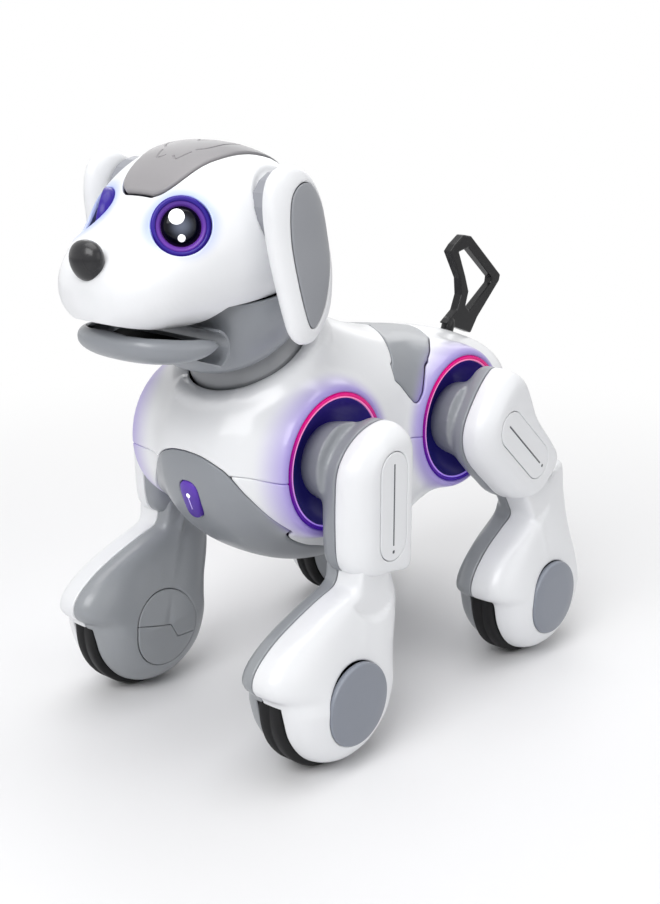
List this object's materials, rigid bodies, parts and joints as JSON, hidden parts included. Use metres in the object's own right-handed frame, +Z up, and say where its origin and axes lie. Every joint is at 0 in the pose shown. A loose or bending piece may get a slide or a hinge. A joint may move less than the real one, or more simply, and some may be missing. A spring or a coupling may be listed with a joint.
{
  "type": "robot dog toy",
  "caption": "Walking robot dog toy on wheeled feet, with jointed legs, nodding head, swinging ears, jaw, tail, lit hip rings and chest button.",
  "frame": {"origin": "on the floor, under the middle of the bounding box", "axes": "+Z up, -Y towards the nose, +X towards the dog's own left side"},
  "size_m": [0.1948, 0.338, 0.3122],
  "materials": {
    "white_shell": "satin",
    "grey_shell": "satin",
    "pale_grey_shell": "satin",
    "charcoal_gloss": "gloss",
    "eye_gloss": "high gloss",
    "eye_ring": "lit ring",
    "light_ring": "lit ring",
    "hip_cup": "satin",
    "button_light": "gloss",
    "wheel_rubber": "matte tread",
    "inner_plastic": "matte",
    "inner_dark": "matte",
    "circuit_board": "solder mask"
  },
  "bodies": {
    "torso": {"torso_upper_shell": "white_shell", "torso_lower_shell": "white_shell", "chest_plate": "grey_shell", "back_saddle": "grey_shell", "battery_door": "white_shell", "battery_pack": "inner_dark", "main_board": "circuit_board", "speaker": "inner_dark", "front_gearbox": "inner_plastic", "rear_gearbox": "inner_plastic", "hip_light_ring_fl": "light_ring", "hip_light_ring_fr": "light_ring", "hip_light_ring_rl": "light_ring", "hip_light_ring_rr": "light_ring", "hip_cup_fl": "hip_cup", "hip_cup_fr": "hip_cup", "hip_cup_rl": "hip_cup", "hip_cup_rr": "hip_cup"},
    "button": {"chest_button": "button_light"},
    "tail": {"tail": "charcoal_gloss"},
    "neck": {"neck_ring": "pale_grey_shell"},
    "head": {"head_shell": "white_shell", "crown_cap": "pale_grey_shell", "head_base": "grey_shell", "nose": "charcoal_gloss", "eye_bezel_l": "eye_ring", "eye_bezel_r": "eye_ring", "eye_lens_l": "eye_gloss", "eye_lens_r": "eye_gloss", "ear_socket_l": "grey_shell", "ear_socket_r": "grey_shell"},
    "jaw": {"jaw": "grey_shell"},
    "ear_left": {"ear_shell_l": "white_shell", "ear_inlay_l": "grey_shell"},
    "ear_right": {"ear_shell_r": "white_shell", "ear_inlay_r": "grey_shell"},
    "thigh_fl": {"thigh_inner_fl": "grey_shell", "thigh_cover_fl": "white_shell"},
    "shin_fl": {"shin_inner_fl": "pale_grey_shell", "shin_outer_fl": "white_shell", "hub_cap_fl": "grey_shell"},
    "wheel_fl": {"wheel_fl": "wheel_rubber"},
    "thigh_fr": {"thigh_inner_fr": "grey_shell", "thigh_cover_fr": "white_shell"},
    "shin_fr": {"shin_inner_fr": "pale_grey_shell", "shin_outer_fr": "white_shell", "hub_cap_fr": "grey_shell"},
    "wheel_fr": {"wheel_fr": "wheel_rubber"},
    "thigh_rl": {"thigh_inner_rl": "grey_shell", "thigh_cover_rl": "white_shell"},
    "shin_rl": {"shin_inner_rl": "pale_grey_shell", "shin_outer_rl": "white_shell", "hub_cap_rl": "grey_shell"},
    "wheel_rl": {"wheel_rl": "wheel_rubber"},
    "thigh_rr": {"thigh_inner_rr": "grey_shell", "thigh_cover_rr": "white_shell"},
    "shin_rr": {"shin_inner_rr": "pale_grey_shell", "shin_outer_rr": "white_shell", "hub_cap_rr": "grey_shell"},
    "wheel_rr": {"wheel_rr": "wheel_rubber"}
  },
  "joints": [
    {"name": "neck_turn", "type": "hinge", "parent": "torso", "child": "neck", "pos_m": [0, -0.06104, 0.2056], "axis": [0, -0.4848, 0.8746], "range_deg": [-40, 40]},
    {"name": "head_nod", "type": "hinge", "parent": "neck", "child": "head", "pos_m": [0, -0.07268, 0.22659], "axis": [1, 0, 0], "range_deg": [-10, 12]},
    {"name": "jaw_open", "type": "hinge", "parent": "head", "child": "jaw", "pos_m": [0, -0.11904, 0.2185], "axis": [1, 0, 0], "range_deg": [-3, 14]},
    {"name": "ear_left_swing", "type": "hinge", "parent": "head", "child": "ear_left", "pos_m": [0.063, -0.08404, 0.282], "axis": [1, 0, 0], "range_deg": [-20, 20]},
    {"name": "ear_right_swing", "type": "hinge", "parent": "head", "child": "ear_right", "pos_m": [-0.063, -0.08404, 0.282], "axis": [1, 0, 0], "range_deg": [-20, 20]},
    {"name": "hip_fl", "type": "hinge", "parent": "torso", "child": "thigh_fl", "pos_m": [0.057, -0.05309, 0.1518], "axis": [1, 0, 0], "range_deg": [-20, 20]},
    {"name": "knee_fl", "type": "hinge", "parent": "thigh_fl", "child": "shin_fl", "pos_m": [0.071, -0.05309, 0.1008], "axis": [1, 0, 0], "range_deg": [-25, 8]},
    {"name": "wheel_spin_fl", "type": "hinge", "parent": "shin_fl", "child": "wheel_fl", "pos_m": [0.071, -0.08049, 0.041], "axis": [1, 0, 0], "continuous": true},
    {"name": "hip_fr", "type": "hinge", "parent": "torso", "child": "thigh_fr", "pos_m": [-0.057, -0.05309, 0.1518], "axis": [1, 0, 0], "range_deg": [-20, 20]},
    {"name": "knee_fr", "type": "hinge", "parent": "thigh_fr", "child": "shin_fr", "pos_m": [-0.071, -0.05309, 0.1008], "axis": [1, 0, 0], "range_deg": [-25, 8]},
    {"name": "wheel_spin_fr", "type": "hinge", "parent": "shin_fr", "child": "wheel_fr", "pos_m": [-0.071, -0.08049, 0.041], "axis": [1, 0, 0], "continuous": true},
    {"name": "hip_rl", "type": "hinge", "parent": "torso", "child": "thigh_rl", "pos_m": [0.057, 0.05541, 0.1518], "axis": [1, 0, 0], "range_deg": [-25, 12]},
    {"name": "knee_rl", "type": "hinge", "parent": "thigh_rl", "child": "shin_rl", "pos_m": [0.071, 0.09188, 0.1113], "axis": [1, 0, 0], "range_deg": [-5, 18]},
    {"name": "wheel_spin_rl", "type": "hinge", "parent": "shin_rl", "child": "wheel_rl", "pos_m": [0.071, 0.10081, 0.041], "axis": [1, 0, 0], "continuous": true},
    {"name": "hip_rr", "type": "hinge", "parent": "torso", "child": "thigh_rr", "pos_m": [-0.057, 0.05541, 0.1518], "axis": [1, 0, 0], "range_deg": [-25, 12]},
    {"name": "knee_rr", "type": "hinge", "parent": "thigh_rr", "child": "shin_rr", "pos_m": [-0.071, 0.09188, 0.1113], "axis": [1, 0, 0], "range_deg": [-5, 18]},
    {"name": "wheel_spin_rr", "type": "hinge", "parent": "shin_rr", "child": "wheel_rr", "pos_m": [-0.071, 0.10081, 0.041], "axis": [1, 0, 0], "continuous": true},
    {"name": "tail_wag", "type": "hinge", "parent": "torso", "child": "tail", "pos_m": [0, 0.11696, 0.186], "axis": [0, 0.342, 0.9397], "range_deg": [-25, 25]},
    {"name": "chest_button_press", "type": "slide", "parent": "torso", "child": "button", "axis": [0, 0.9648, 0.2631], "range_m": [0, 0.0012], "stiffness_N_per_m": 400}
  ]
}
